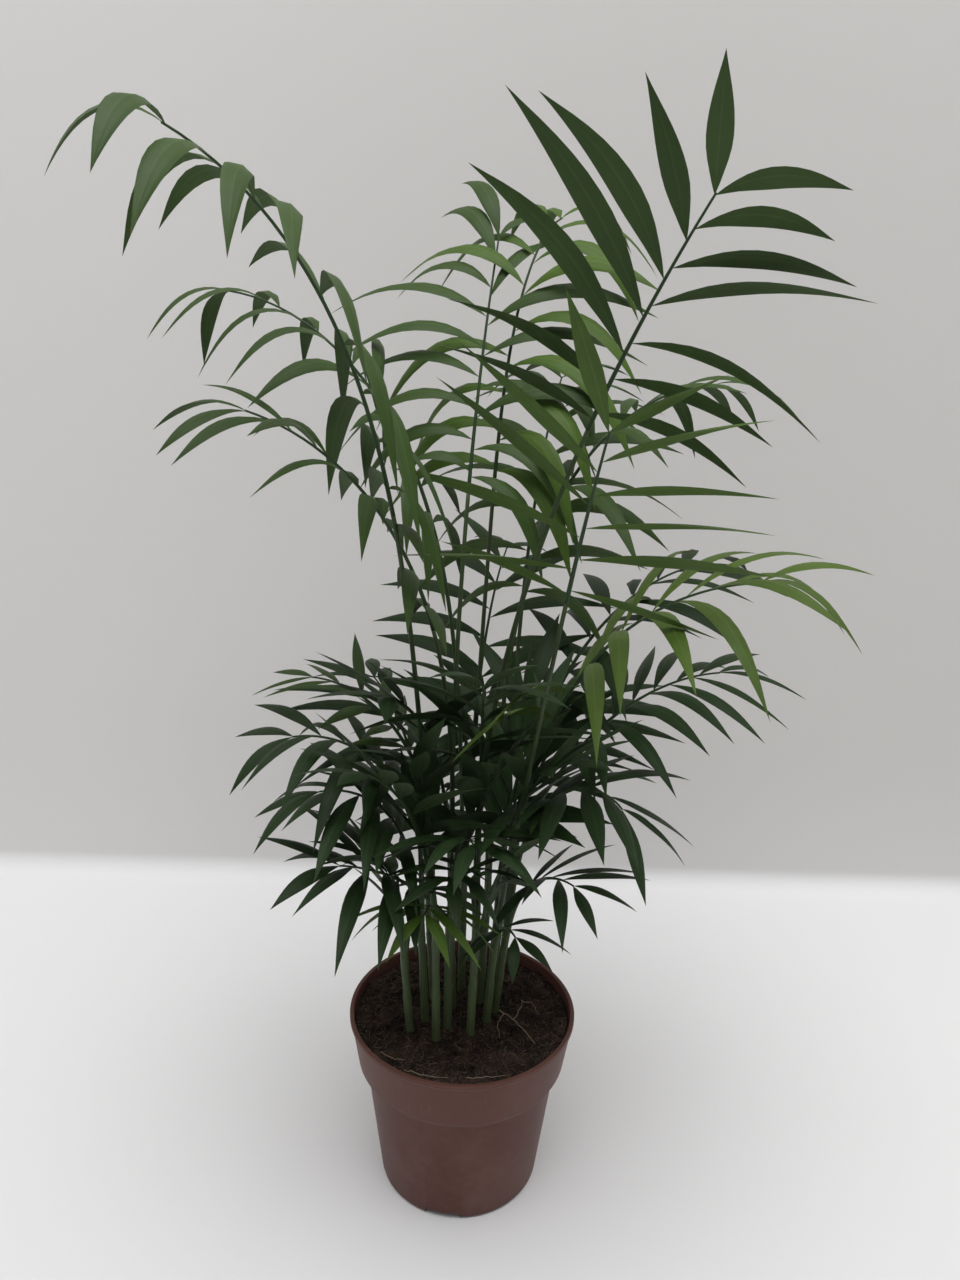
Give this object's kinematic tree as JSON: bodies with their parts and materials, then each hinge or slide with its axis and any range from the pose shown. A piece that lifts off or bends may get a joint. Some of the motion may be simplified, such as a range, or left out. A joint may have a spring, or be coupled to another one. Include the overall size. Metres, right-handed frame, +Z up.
{
  "type": "potted parlour palm",
  "caption": "Parlour palm in a round plastic nursery pot: slender green canes rise from the soil and carry arching feather-shaped fronds.",
  "frame": {"origin": "middle of the flat underside of the pot, at floor level", "axes": "+Z up along the axis of the pot; -Y towards the side that the plant is seen from; +X to that viewer's right"},
  "size_m": [0.357, 0.3167, 0.5843],
  "materials": {
    "pot_plastic": "satin",
    "soil": "matte",
    "stem_green": "satin",
    "leaf_dark": "satin",
    "leaf_mid": "satin",
    "leaf_light": "satin"
  },
  "bodies": {
    "root": {"pot": "pot_plastic", "soil": "soil", "stem_a": "stem_green", "stem_b": "stem_green", "stem_c": "stem_green", "stem_d": "stem_green", "stem_e": "stem_green", "stem_f": "stem_green", "stem_g": "stem_green", "stem_h": "stem_green", "stem_i": "stem_green", "stem_j": "stem_green", "stem_k": "stem_green", "stem_l": "stem_green", "frond_tall_left": "leaf_mid", "frond_tall_right": "leaf_mid", "frond_centre_back": "leaf_mid", "frond_centre_left": "leaf_mid", "frond_left_mid": "leaf_mid", "frond_left_upper": "leaf_mid", "frond_right_upper": "leaf_mid", "frond_front_right": "leaf_mid", "frond_right_mid": "leaf_light", "frond_right_low": "leaf_dark", "frond_right_fan": "leaf_dark", "frond_right_foot": "leaf_dark", "frond_right_inner": "leaf_dark", "frond_left_foot": "leaf_dark", "frond_left_low": "leaf_dark", "frond_left_fan": "leaf_dark", "frond_left_small": "leaf_mid", "frond_front_mid": "leaf_dark", "frond_front_low": "leaf_dark", "frond_front_foot": "leaf_mid", "frond_side_foot": "leaf_dark", "frond_back_tall": "leaf_mid", "frond_back_mid": "leaf_dark", "frond_back_left": "leaf_dark", "frond_back_low": "leaf_dark", "frond_back_foot": "leaf_dark", "frond_inner_front": "leaf_dark", "frond_inner_left": "leaf_dark", "frond_inner_right": "leaf_dark", "frond_inner_back": "leaf_dark", "frond_inner_foot": "leaf_dark", "frond_core_left": "leaf_dark", "frond_core_right": "leaf_dark", "frond_core_top": "leaf_dark", "frond_core_mid": "leaf_dark", "frond_core_low": "leaf_dark", "frond_core_foot": "leaf_dark"}
  },
  "joints": []
}
